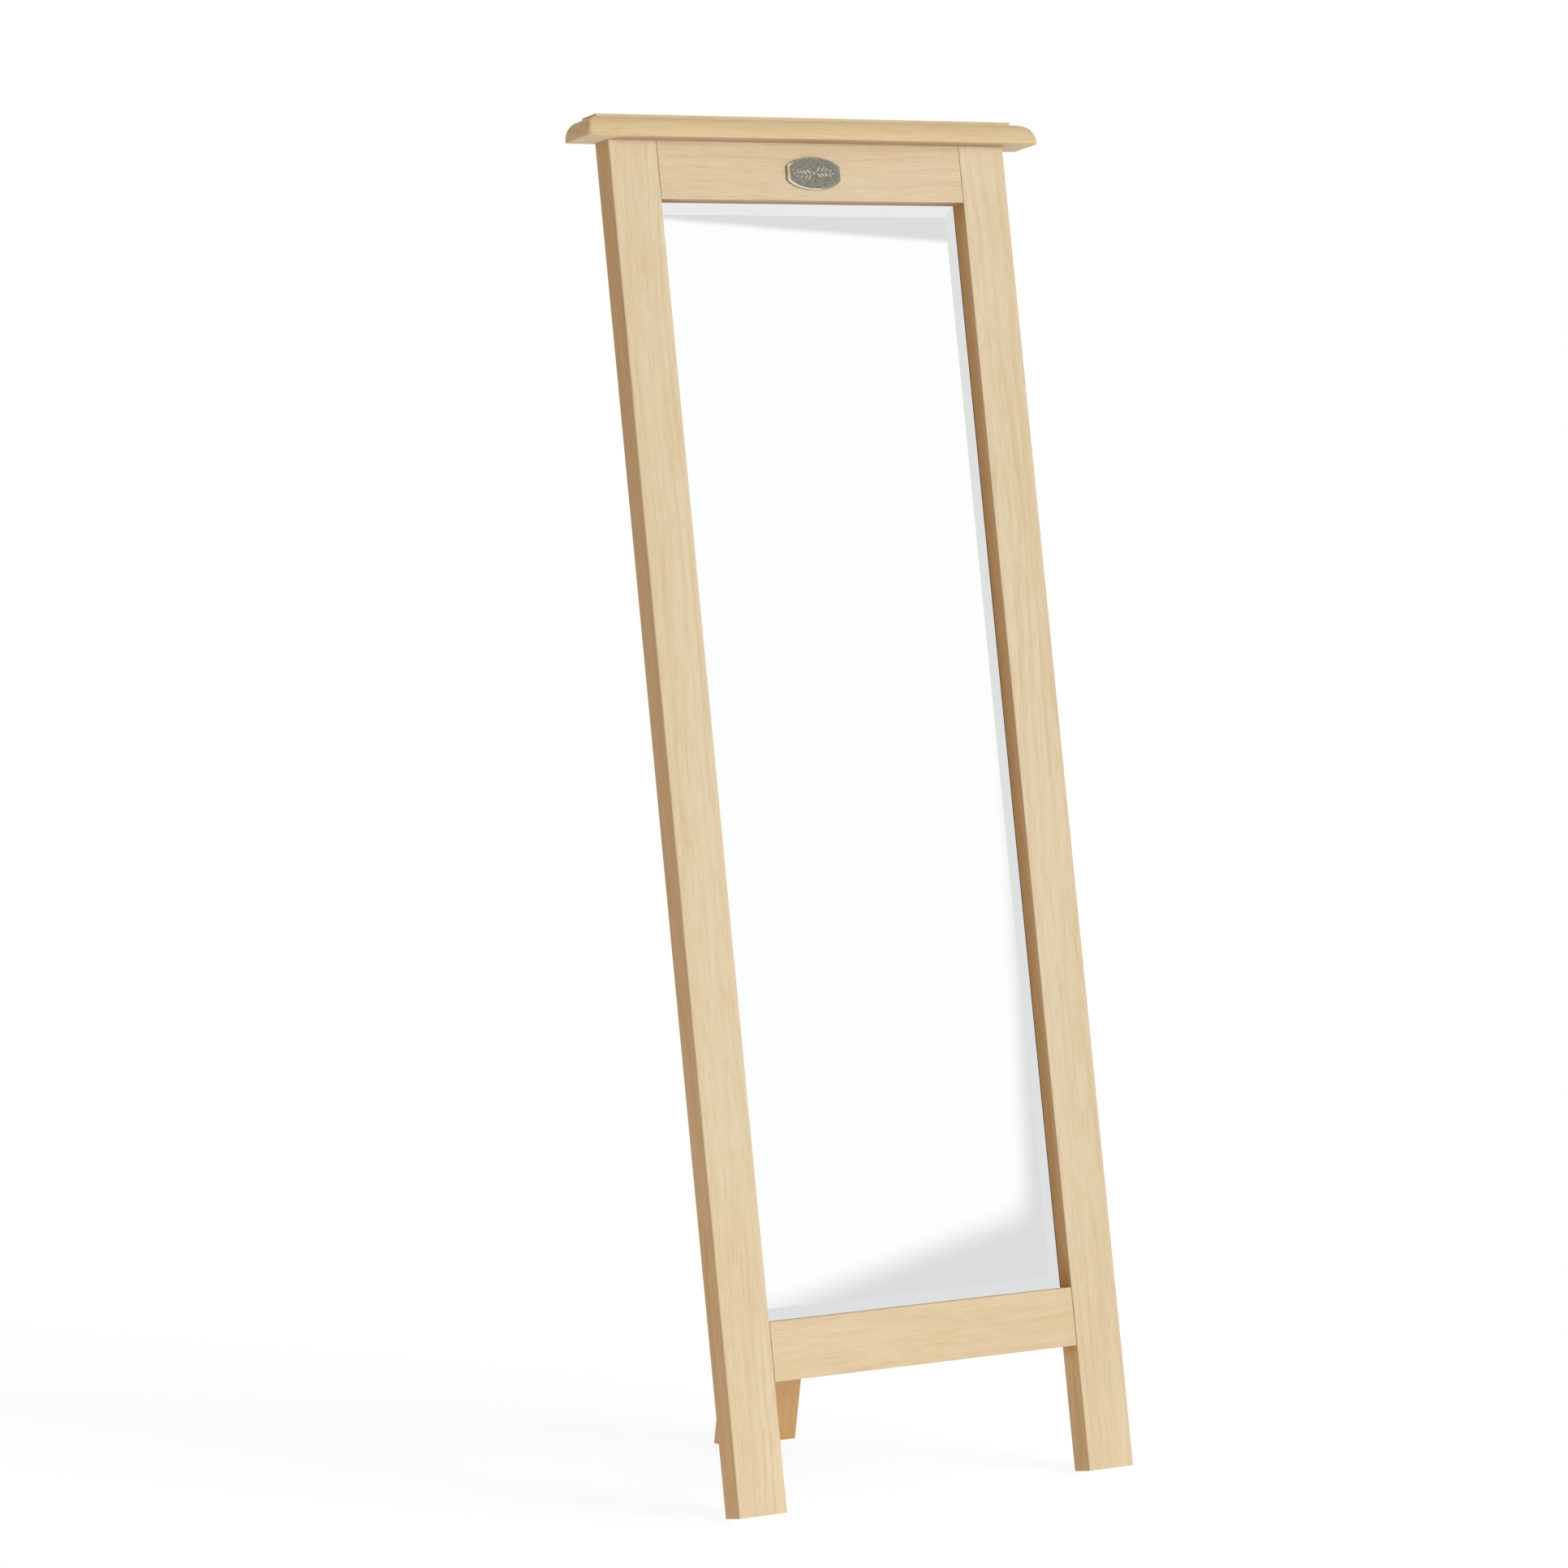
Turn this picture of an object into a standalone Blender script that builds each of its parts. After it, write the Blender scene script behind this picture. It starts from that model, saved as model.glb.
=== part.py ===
"""Cheval floor mirror: a leaning timber frame, its bevelled glass, and one rear leg on a loose-pin hinge.

World axes: metres, +Z up, the floor at Z = 0, the front towards -Y, the origin at the footprint's centre.
Frame pieces are modelled in the frame's own axes under the empty "frame_axes": x across, y from the front
face to the back, z up along the stiles. Leg pieces are modelled in the leg's own axes under "leg_axes",
whose origin lies on the hinge pin: y runs into the leg's thickness and z up along the leg.
"""

import math

import bmesh
import bpy
from mathutils import Matrix, Vector

MM = 0.001
GAP = 0.3 * MM  # left between two pieces that touch

# The stand: frame and leg lean towards each other like an easel.
FRAME_LEAN = math.radians(10)
LEG_LEAN = math.radians(10)
OPENING = FRAME_LEAN + LEG_LEAN

# Frame
FRAME_W = 560 * MM
STILE_W = 65.5 * MM
STILE_L = 1589.5 * MM
BOARD_T = 30 * MM
RAIL_H = 69 * MM
BOTTOM_RAIL_LOW = 149 * MM
EASE = 2.0 * MM  # rounding of an open arris
EASE_STEPS = 3
JOINT_EASE = 0.5  # an arris at a joint, as a share of EASE
RAIL_EASE = 0.7  # a rail's open arris, as a share of EASE

# Cap board
CAP_T = 30 * MM
CAP_BACK = BOARD_T
CAP_TOP_HALF_W = 293.7 * MM
CAP_OVOLO_SIDE = 25.8 * MM
CAP_OVOLO_FRONT = 21.4 * MM
CAP_FILLET_H = 4 * MM
CAP_OVOLO_STEPS = 12
CAP_NOSE = 1.5 * MM  # rounding under the ovolo
CAP_NOSE_STEPS = 3
CAP_TOP_CHAMFER = 0.6 * MM
CAP_CORNER_R = 7 * MM  # the two front corners in plan, at the ovolo's widest
CAP_CORNER_STEPS = 4

# Glazing strip, glass and backing board, in a stepped rebate
LIP_T = 21.6 * MM
GLAZING_T = 1.5 * MM  # at the sight line, where the lip ends
GLAZING_W = 6 * MM
GLASS_REBATE = 10 * MM
GLASS_COVER = 8 * MM  # how far the lip covers the glass
GLASS_T = 4 * MM
GLASS_BEVEL_W = 22 * MM
GLASS_BEVEL_DROP = 2 * MM
BACKING_REBATE = 20 * MM
BACKING_COVER = 19 * MM
BACKING_T = 3 * MM
CUT_PAST = 5 * MM  # how far a cutter runs past the face it opens

# Dowels
RAIL_DOWEL_R = 5 * MM
RAIL_DOWEL_L = 60 * MM
RAIL_DOWEL_INSET = 18 * MM  # from the rail's upper and lower edges
CAP_DOWEL_R = 4 * MM
CAP_DOWEL_L = 40 * MM
CAP_DOWEL_IN_CAP = 18 * MM
CAP_DOWEL_X = (-262 * MM, -110 * MM, 110 * MM, 262 * MM)
DOWEL_Y = BOARD_T / 2
DOWEL_CHAMFER = 1 * MM
DOWEL_SIDES = 16
BORE_PAST = 1 * MM  # how much deeper a blind bore is than what it holds

# Screws: head radius, shank radius, length
RAIL_SCREW = (4.0 * MM, 2.0 * MM, 40 * MM)
BACKING_SCREW = (2.8 * MM, 1.4 * MM, 14 * MM)
HINGE_SCREW = (3.4 * MM, 1.7 * MM, 18 * MM)
SCREW_SIDES = 12
SCREW_LAND = 0.2 * MM  # the head's upright edge, above its cone
SCREW_TIP = 2.5  # length of the point, in shank radii
BORE_RIM = 1.5  # how much more the countersink is widened than the bore
RECESS_DEPTH = 0.35  # of the head's radius
RECESS_ARM = 0.62
RECESS_THICK = 0.2

# Hinge rail, hinge and leg
HINGE_UP = 928 * MM  # the pin's height along the frame
HINGE_RAIL_T = 22 * MM
HINGE_RAIL_INSET = 20 * MM  # from the stiles' outer faces
HINGE_RAIL_BELOW = 42 * MM  # the rail's reach below and above the pin
HINGE_RAIL_ABOVE = 68 * MM
HINGE_L = 76 * MM
KNUCKLES = 5
KNUCKLE_R = 3.6 * MM
LEAF_T = 1.7 * MM
LEAF_W = 26 * MM  # from the pin's axis to the leaf's edge
SEAM = 0.35 * MM  # slit left where the rolled knuckle meets its leaf
CURL_STEPS = 20
PIN_R = KNUCKLE_R - LEAF_T - GAP
PIN_HEAD_R = 3.0 * MM
PIN_HEAD_T = 1.6 * MM
PIN_SIDES = 16
AXIS_TO_WOOD = KNUCKLE_R + GAP
LEG_W = 100 * MM
LEG_T = 30 * MM
LEG_HEAD = 38 * MM  # length of the bevel that bears on the hinge rail

# Badge
BADGE_HALF_W = 37.5 * MM
BADGE_HALF_H = 19.5 * MM
BADGE_END_HALF_H = 8 * MM
BADGE_T = 3 * MM
BADGE_RIM = 4 * MM
BADGE_FIELD_DEPTH = 0.9 * MM
BADGE_ARC_STEPS = 16
BADGE_SPIGOT_X = (-20 * MM, 20 * MM)
BADGE_SPIGOT_R = 1.5 * MM
BADGE_SPIGOT_L = 8 * MM

# Derived places, in the frame's axes
INNER_HALF_W = FRAME_W / 2 - STILE_W
OPEN_LOW = BOTTOM_RAIL_LOW + RAIL_H
OPEN_HIGH = STILE_L - RAIL_H
GLAZING_FRONT = LIP_T + GAP
GLAZING_BACK = GLAZING_FRONT + GLAZING_T
BEVEL_SLOPE = GLASS_BEVEL_DROP / GLASS_BEVEL_W
GLASS_FRONT = GLAZING_BACK + GAP - BEVEL_SLOPE * (GLASS_BEVEL_W - GLASS_COVER)
GLASS_BACK = GLASS_FRONT + GLASS_T
BACKING_LIP = GLASS_BACK
BACKING_FRONT = GLASS_BACK + GAP
BACKING_BACK = BACKING_FRONT + BACKING_T
HINGE_RAIL_FRONT = BOARD_T + GAP
HINGE_RAIL_BACK = HINGE_RAIL_FRONT + HINGE_RAIL_T
PIN_Y = HINGE_RAIL_BACK + AXIS_TO_WOOD
CAP_LOW = STILE_L + GAP
BADGE_Z = (OPEN_HIGH + STILE_L) / 2 - 2 * MM

# Derived places in the world: the stiles' back lower arrises and the leg's sole stand on the floor.
FRAME_RAISE = BOARD_T * math.sin(FRAME_LEAN)
PIN_BACK = HINGE_UP * math.sin(FRAME_LEAN) + PIN_Y * math.cos(FRAME_LEAN)
PIN_RAISE = HINGE_UP * math.cos(FRAME_LEAN) - PIN_Y * math.sin(FRAME_LEAN) + FRAME_RAISE
LEG_FOOT_BACK = PIN_BACK + PIN_RAISE * math.tan(LEG_LEAN) + (AXIS_TO_WOOD + LEG_T) / math.cos(LEG_LEAN)
FRAME_Y = -LEG_FOOT_BACK / 2

TO_FRONT = Matrix.Rotation(-math.pi / 2, 4, "X")  # turns a screw's length from -Z to -Y
TO_BACK = Matrix.Rotation(math.pi / 2, 4, "X")
ALONG_X = Matrix.Rotation(math.pi / 2, 4, "Y")


def clear_scene():
    for obj in list(bpy.data.objects):
        bpy.data.objects.remove(obj)


def material(name, colour, roughness, metallic=0.0):
    made = bpy.data.materials.new(name)
    made.use_nodes = True
    shader = made.node_tree.nodes["Principled BSDF"]
    shader.inputs["Base Color"].default_value = (*colour, 1.0)
    shader.inputs["Roughness"].default_value = roughness
    shader.inputs["Metallic"].default_value = metallic
    return made


def axes(name, location, turn_x):
    empty = bpy.data.objects.new(name, None)
    empty.location = location
    empty.rotation_euler = (turn_x, 0, 0)
    bpy.context.scene.collection.objects.link(empty)
    return empty


def mesh_from(name, bm):
    bmesh.ops.recalc_face_normals(bm, faces=bm.faces)
    mesh = bpy.data.meshes.new(name)
    bm.to_mesh(mesh)
    bm.free()
    return mesh


def piece(name, mesh, parent, surface, smooth=False):
    obj = bpy.data.objects.new(name, mesh)
    obj.parent = parent
    mesh.materials.clear()
    mesh.materials.append(surface)
    if smooth:
        mesh.shade_smooth()
        mesh.set_sharp_from_angle(angle=math.radians(35))
    bpy.context.scene.collection.objects.link(obj)
    return obj


def cutter(name, bm, parent):
    obj = bpy.data.objects.new(name, mesh_from(name, bm))
    obj.parent = parent
    obj.hide_render = True
    obj.display_type = "WIRE"
    bpy.context.scene.collection.objects.link(obj)
    return obj


def cut(obj, tool):
    modifier = obj.modifiers.new("cut_" + tool.name, "BOOLEAN")
    modifier.operation = "DIFFERENCE"
    modifier.object = tool


def ease(obj, weights):
    """Rounds arrises. weights(middle, direction) gives an edge's share of EASE, and zero leaves it sharp."""
    bm = bmesh.new()
    bm.from_mesh(obj.data)
    layer = bm.edges.layers.float.new("bevel_weight_edge")
    for edge in bm.edges:
        start, end = (v.co for v in edge.verts)
        edge[layer] = weights((start + end) / 2, (end - start).normalized())
    bm.to_mesh(obj.data)
    bm.free()
    modifier = obj.modifiers.new("eased_arrises", "BEVEL")
    modifier.limit_method = "WEIGHT"
    modifier.width = EASE
    modifier.segments = EASE_STEPS


def add_box(bm, low, high):
    """Adds a box between two opposite corners, given in any order."""
    a, b = Vector(low), Vector(high)
    size = [abs(n) for n in b - a]
    place = Matrix.Translation((a + b) / 2) @ Matrix.Diagonal((*size, 1))
    bmesh.ops.create_cube(bm, size=1, matrix=place)


def add_turned(bm, profile, sides, place):
    """Adds a solid turned about its Z axis. profile lists (radius, z) from one end to the other."""
    rings = []
    for radius, z in profile:
        if radius == 0:
            rings.append([bm.verts.new(place @ Vector((0, 0, z)))] * sides)
            continue
        turn = [2 * math.pi * i / sides for i in range(sides)]
        points = [Vector((radius * math.cos(a), radius * math.sin(a), z)) for a in turn]
        rings.append([bm.verts.new(place @ p) for p in points])
    for lower, upper in zip(rings, rings[1:]):
        for i in range(sides):
            j = (i + 1) % sides
            corners = dict.fromkeys((lower[i], lower[j], upper[j], upper[i]))
            bm.faces.new(list(corners))


def add_loft(bm, outlines, endless=False):
    """Joins closed outlines with equal numbers of points. The ends are closed, or joined if endless."""
    rings = [[bm.verts.new(p) for p in outline] for outline in outlines]
    following = rings[1:] + rings[:1] if endless else rings[1:]
    for lower, upper in zip(rings, following):
        for i in range(len(lower)):
            j = (i + 1) % len(lower)
            bm.faces.new((lower[i], lower[j], upper[j], upper[i]))
    if not endless:
        bm.faces.new(rings[0][::-1])
        bm.faces.new(rings[-1])


def along_z(middle, direction):
    return abs(direction.z) > 0.9


def along_x(middle, direction):
    return abs(direction.x) > 0.9


# Screws and dowels ---------------------------------------------------------------------------------------


def screw_profile(size, grow=0.0, past=0.0):
    """Half outline of a countersunk screw, head up at z = 0. grow and past make it a bore for the screw."""
    head_r, shank_r, length = size
    cone_low = shank_r - head_r - SCREW_LAND
    rim_r = head_r + BORE_RIM * grow
    top, rim_low = (CUT_PAST, 0) if grow else (0, -SCREW_LAND)
    return [
        (0, top),
        (rim_r, top),
        (rim_r, rim_low),
        (shank_r + grow, cone_low),
        (shank_r + grow, SCREW_TIP * shank_r - length),
        (0, -length - past),
    ]


def screw_mesh(name, size):
    """A countersunk screw with a cross recess, its head's flat at z = 0 and its tip towards -Z."""
    bm = bmesh.new()
    add_turned(bm, screw_profile(size), SCREW_SIDES, Matrix())
    body = bpy.data.objects.new(name, mesh_from(name, bm))
    bpy.context.scene.collection.objects.link(body)
    head_r = size[0]
    arm, thick, depth = (head_r * share for share in (RECESS_ARM, RECESS_THICK / 2, RECESS_DEPTH))
    for run, across in ((arm, thick), (thick, arm)):
        tool_bm = bmesh.new()
        add_box(tool_bm, (-run, -across, -depth), (run, across, CUT_PAST))
        cut(body, cutter(name + "_recess", tool_bm, None))
    bpy.context.view_layer.update()
    evaluated = body.evaluated_get(bpy.context.evaluated_depsgraph_get())
    mesh = bpy.data.meshes.new_from_object(evaluated)
    for modifier in body.modifiers:
        bpy.data.objects.remove(modifier.object)
    bpy.data.objects.remove(body)
    return mesh


def place_screws(name, size, heads, turn, parent, surface):
    """One screw for each head position, and the bores that hold them as one cutter."""
    mesh = screw_mesh(name, size)
    bores = bmesh.new()
    for number, head in enumerate(heads, 1):
        screw = piece(f"{name}_{number}", mesh, parent, surface, smooth=True)
        screw.matrix_local = Matrix.Translation(head) @ turn
        grown = screw_profile(size, grow=GAP, past=BORE_PAST)
        add_turned(bores, grown, SCREW_SIDES, Matrix.Translation(head) @ turn)
    return cutter(name + "_bores", bores, parent)


def dowel_profile(radius, length):
    half = length / 2
    flat = radius - DOWEL_CHAMFER
    return [
        (0, -half),
        (flat, -half),
        (radius, -half + DOWEL_CHAMFER),
        (radius, half - DOWEL_CHAMFER),
        (flat, half),
        (0, half),
    ]


def bore_profile(radius, length):
    half = length / 2 + BORE_PAST
    return [(0, -half), (radius + GAP, -half), (radius + GAP, half), (0, half)]


def place_dowels(name, radius, length, centres, turn, parent, surface):
    bm = bmesh.new()
    add_turned(bm, dowel_profile(radius, length), DOWEL_SIDES, Matrix())
    mesh = mesh_from(name, bm)
    bores = bmesh.new()
    for number, centre in enumerate(centres, 1):
        dowel = piece(f"{name}_{number}", mesh, parent, surface, smooth=True)
        dowel.matrix_local = Matrix.Translation(centre) @ turn
        add_turned(bores, bore_profile(radius, length), DOWEL_SIDES, Matrix.Translation(centre) @ turn)
    return cutter(name + "_bores", bores, parent)


def rail_dowel_centres():
    heights = []
    for low, high in ((BOTTOM_RAIL_LOW, OPEN_LOW), (OPEN_HIGH, STILE_L)):
        heights += [low + RAIL_DOWEL_INSET, high - RAIL_DOWEL_INSET]
    return [(side * INNER_HALF_W, DOWEL_Y, z) for side in (-1, 1) for z in heights]


def cap_dowel_centres():
    middle = CAP_LOW + CAP_DOWEL_IN_CAP - CAP_DOWEL_L / 2
    return [(x, DOWEL_Y, middle) for x in CAP_DOWEL_X]


# Frame ---------------------------------------------------------------------------------------------------


def rebate_cutter(name, width, floor, parent):
    """One step of the rebate round the opening, open towards the back."""
    low = (-INNER_HALF_W - width, floor, OPEN_LOW - width)
    high = (INNER_HALF_W + width, BOARD_T + CUT_PAST, OPEN_HIGH + width)
    bm = bmesh.new()
    add_box(bm, low, high)
    return cutter(name, bm, parent)


def stile(name, side, parent, surface):
    bm = bmesh.new()
    add_box(bm, (side * INNER_HALF_W, 0, 0), (side * FRAME_W / 2, BOARD_T, STILE_L))
    obj = piece(name, mesh_from(name, bm), parent, surface, smooth=True)

    def weights(middle, direction):
        if not along_z(middle, direction):
            return 0.0
        return 1.0 if abs(middle.x) > INNER_HALF_W + STILE_W / 2 else JOINT_EASE

    ease(obj, weights)
    return obj


def rail(name, low, high, eased_heights, parent, surface):
    """A rail between the stiles. eased_heights lists the heights of its long edges that are open arrises."""
    bm = bmesh.new()
    half = INNER_HALF_W - GAP
    add_box(bm, (-half, 0, low), (half, BOARD_T, high))
    obj = piece(name, mesh_from(name, bm), parent, surface, smooth=True)

    def weights(middle, direction):
        if along_z(middle, direction):
            return JOINT_EASE
        open_edge = any(abs(middle.z - z) < GAP for z in eased_heights)
        return RAIL_EASE if along_x(middle, direction) and open_edge else 0.0

    ease(obj, weights)
    return obj


def cap_outline(share, z):
    """The outline where the moulding reaches out by a share of the ovolo. Its front corners are round."""
    half = CAP_TOP_HALF_W + share * CAP_OVOLO_SIDE
    front = -share * CAP_OVOLO_FRONT
    radius = max(CAP_CORNER_R - (1 - share) * CAP_OVOLO_FRONT, 0)
    turns = [math.pi / 2 * i / CAP_CORNER_STEPS for i in range(CAP_CORNER_STEPS + 1)]
    corner = [(half - radius * (1 - math.sin(a)), front + radius * (1 - math.cos(a)), z) for a in turns]
    mirrored = [(-x, y, z) for x, y, z in reversed(corner)]
    return mirrored + corner + [(half, CAP_BACK, z), (-half, CAP_BACK, z)]


def cap_board(parent, surface):
    """A board with an ovolo under a fillet along its front and both ends, mitred at the corners."""
    quarter = math.pi / 2
    nose = [quarter * i / CAP_NOSE_STEPS for i in range(CAP_NOSE_STEPS)]
    ovolo = [quarter * i / CAP_OVOLO_STEPS for i in range(CAP_OVOLO_STEPS + 1)]
    ovolo_h = CAP_T - CAP_FILLET_H - CAP_NOSE
    # Each step up the moulding is its reach, as a share of the ovolo's, and its height.
    steps = [(1 - (1 - math.sin(a)) * CAP_NOSE / CAP_OVOLO_SIDE, (1 - math.cos(a)) * CAP_NOSE) for a in nose]
    steps += [(math.cos(a), CAP_NOSE + ovolo_h * math.sin(a)) for a in ovolo]
    steps += [(0, CAP_T - CAP_TOP_CHAMFER), (-CAP_TOP_CHAMFER / CAP_OVOLO_SIDE, CAP_T)]
    bm = bmesh.new()
    add_loft(bm, [cap_outline(share, CAP_LOW + up) for share, up in steps])
    bmesh.ops.remove_doubles(bm, verts=bm.verts, dist=GAP / 10)
    return piece("cap_board", mesh_from("cap_board", bm), parent, surface, smooth=True)


def rectangle(half_w, low, high, y):
    return [(-half_w, y, low), (half_w, y, low), (half_w, y, high), (-half_w, y, high)]


def glazing_strip(parent, surface):
    """A soft dark strip all round, between the lip of the rebate and the bevel of the glass."""
    outlines = []
    for out, y in (
        (GAP, GLAZING_FRONT),
        (GLAZING_W, GLAZING_FRONT),
        (GLAZING_W, GLAZING_BACK + BEVEL_SLOPE * GLAZING_W),
        (GAP, GLAZING_BACK),
    ):
        outlines.append(rectangle(INNER_HALF_W + out, OPEN_LOW - out, OPEN_HIGH + out, y))
    bm = bmesh.new()
    add_loft(bm, outlines, endless=True)
    return piece("glazing_strip", mesh_from("glazing_strip", bm), parent, surface)


def mirror_glass(parent, surface):
    """Float glass with a wide polished bevel. The glazing strip bears on the bevel."""
    half, low, high = INNER_HALF_W + GLASS_COVER, OPEN_LOW - GLASS_COVER, OPEN_HIGH + GLASS_COVER
    inset = GLASS_BEVEL_W
    bm = bmesh.new()
    outlines = [
        rectangle(half - inset, low + inset, high - inset, GLASS_FRONT),
        rectangle(half, low, high, GLASS_FRONT + GLASS_BEVEL_DROP),
        rectangle(half, low, high, GLASS_BACK),
    ]
    add_loft(bm, outlines)
    return piece("mirror_glass", mesh_from("mirror_glass", bm), parent, surface)


def backing_board(parent, surface):
    half = INNER_HALF_W + BACKING_COVER
    low = (-half, BACKING_FRONT, OPEN_LOW - BACKING_COVER)
    high = (half, BACKING_BACK, OPEN_HIGH + BACKING_COVER)
    bm = bmesh.new()
    add_box(bm, low, high)
    return piece("backing_board", mesh_from("backing_board", bm), parent, surface)


def backing_screw_heads():
    """Round the board's margin, clear of the hinge rail that crosses it."""
    margin = (GLASS_REBATE + BACKING_REBATE) / 2
    side_x, opening_h = INNER_HALF_W + margin, OPEN_HIGH - OPEN_LOW
    heads = []
    for share in (0.05, 0.36, 0.68, 0.95):
        heads += [(side * side_x, BACKING_BACK, OPEN_LOW + share * opening_h) for side in (-1, 1)]
    for z in (OPEN_LOW - margin, OPEN_HIGH + margin):
        heads += [(side * INNER_HALF_W / 2, BACKING_BACK, z) for side in (-1, 1)]
    return heads


def hinge_rail(parent, surface):
    half = FRAME_W / 2 - HINGE_RAIL_INSET
    bm = bmesh.new()
    low = (-half, HINGE_RAIL_FRONT, HINGE_UP - HINGE_RAIL_BELOW)
    high = (half, HINGE_RAIL_BACK, HINGE_UP + HINGE_RAIL_ABOVE)
    add_box(bm, low, high)
    obj = piece("hinge_rail", mesh_from("hinge_rail", bm), parent, surface, smooth=True)
    back = HINGE_RAIL_BACK - GAP

    def weights(middle, direction):
        return 1.0 if middle.y > back else 0.0

    ease(obj, weights)
    return obj


def rail_screw_heads():
    x = FRAME_W / 2 - HINGE_RAIL_INSET - 10 * MM
    inset = 25 * MM
    low, high = HINGE_UP - HINGE_RAIL_BELOW + inset, HINGE_UP + HINGE_RAIL_ABOVE - inset
    return [(side * x, HINGE_RAIL_BACK, z) for side in (-1, 1) for z in (low, high)]


# Hinge and leg -------------------------------------------------------------------------------------------


def curl_outline(toward):
    """A leaf's cross-section: a flat strip whose upper end is rolled once round the pin.

    toward is -1 for wood on the -Y side of the pin and +1 for wood on its +Y side."""
    inner_r = KNUCKLE_R - LEAF_T
    last = math.pi + math.acos((inner_r - SEAM) / KNUCKLE_R)  # where the roll comes back to its leaf
    sweep = 2 * math.pi - (last - math.pi / 2) + math.pi / 2
    turns = [math.pi - sweep * i / CURL_STEPS for i in range(CURL_STEPS + 1)]
    outer = [(KNUCKLE_R * math.cos(a), KNUCKLE_R * math.sin(a)) for a in turns]
    inner = [(inner_r * math.cos(a), inner_r * math.sin(a)) for a in reversed(turns)]
    strip = [(-KNUCKLE_R, -LEAF_W)] + outer + inner + [(-inner_r, -LEAF_W)]
    return [(-toward * y, z) for y, z in strip]


def hinge_leaf(name, toward, first_knuckle, origin, parent, surface):
    """A leaf that keeps every second knuckle, starting with first_knuckle."""
    half = HINGE_L / 2
    outline = curl_outline(toward)
    bm = bmesh.new()
    add_loft(bm, [[Vector((x, y, z)) + origin for y, z in outline] for x in (-half, half)])
    obj = piece(name, mesh_from(name, bm), parent, surface, smooth=True)
    notches = bmesh.new()
    pitch = HINGE_L / KNUCKLES
    reach = KNUCKLE_R + CUT_PAST
    for number in range(1 - first_knuckle, KNUCKLES, 2):
        left, right = -half + number * pitch - GAP / 2, -half + (number + 1) * pitch + GAP / 2
        if number == 0:
            left -= CUT_PAST
        if number == KNUCKLES - 1:
            right += CUT_PAST
        low = Vector((left, -reach, -KNUCKLE_R - 2 * GAP)) + origin
        add_box(notches, low, Vector((right, reach, reach)) + origin)
    cut(obj, cutter(name + "_notches", notches, parent))
    return obj


def leaf_screw_heads(toward, origin):
    """Three heads, staggered, flush with the leaf's inner face."""
    y = toward * (KNUCKLE_R - LEAF_T)
    spread, high, low = 27 * MM, -12.5 * MM, -18.5 * MM
    return [tuple(Vector((x, y, z)) + origin) for x, z in ((-spread, high), (0, low), (spread, high))]


def hinge_pin(origin, parent, surface):
    """A loose pin with a domed head at one end and a small chamfer at the other."""
    half = HINGE_L / 2 + GAP
    profile = [
        (0, -half - PIN_HEAD_T),
        (0.6 * PIN_HEAD_R, -half - PIN_HEAD_T),
        (0.9 * PIN_HEAD_R, -half - 0.7 * PIN_HEAD_T),
        (PIN_HEAD_R, -half - 0.3 * PIN_HEAD_T),
        (PIN_HEAD_R, -half),
        (PIN_R, -half),
        (PIN_R, half + GAP),
        (0.6 * PIN_R, half + 2 * GAP),
        (0, half + 2 * GAP),
    ]
    bm = bmesh.new()
    add_turned(bm, profile, PIN_SIDES, ALONG_X)
    pin = piece("hinge_pin", mesh_from("hinge_pin", bm), parent, surface, smooth=True)
    pin.location = origin
    return pin


def rear_leg(parent, surface):
    """One board. Its sole is cut level, and its bevelled head bears on the hinge rail when it is open."""
    front, back = AXIS_TO_WOOD, AXIS_TO_WOOD + LEG_T
    to_rail = AXIS_TO_WOOD - GAP

    def sole(y):
        return -(PIN_RAISE + y * math.sin(LEG_LEAN)) / math.cos(LEG_LEAN)

    def bevel_y(z):
        return (z * math.sin(OPENING) - to_rail) / math.cos(OPENING)

    bevel_low = (front * math.cos(OPENING) + to_rail) / math.sin(OPENING)
    head = bevel_low + LEG_HEAD
    side = [
        (front, sole(front)),
        (back, sole(back)),
        (back, head),
        (bevel_y(head), head),
        (front, bevel_low),
    ]
    bm = bmesh.new()
    add_loft(bm, [[(x, y, z) for y, z in side] for x in (-LEG_W / 2, LEG_W / 2)])
    obj = piece("rear_leg", mesh_from("rear_leg", bm), parent, surface, smooth=True)

    def weights(middle, direction):
        top = middle.z > head - GAP
        long_edge = along_z(middle, direction)
        return 1.0 if (long_edge or top) and middle.y > back - LEG_T - GAP else 0.0

    ease(obj, weights)
    return obj


# Badge ---------------------------------------------------------------------------------------------------


def badge_outline(inset, y):
    """An oval whose ends are cut straight, drawn inset from the plate's edge."""
    half_w, half_h = BADGE_HALF_W - inset, BADGE_HALF_H - inset
    end_h = BADGE_END_HALF_H - inset / 4
    long_axis = half_w / math.sqrt(1 - (end_h / half_h) ** 2)
    reach = math.asin(half_w / long_axis)
    turns = [reach - 2 * reach * i / BADGE_ARC_STEPS for i in range(BADGE_ARC_STEPS + 1)]
    upper = [(long_axis * math.sin(a), half_h * math.cos(a)) for a in turns]
    points = upper + [(-x, -z) for x, z in upper]
    return [(x, y, BADGE_Z + z) for x, z in points]


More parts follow.
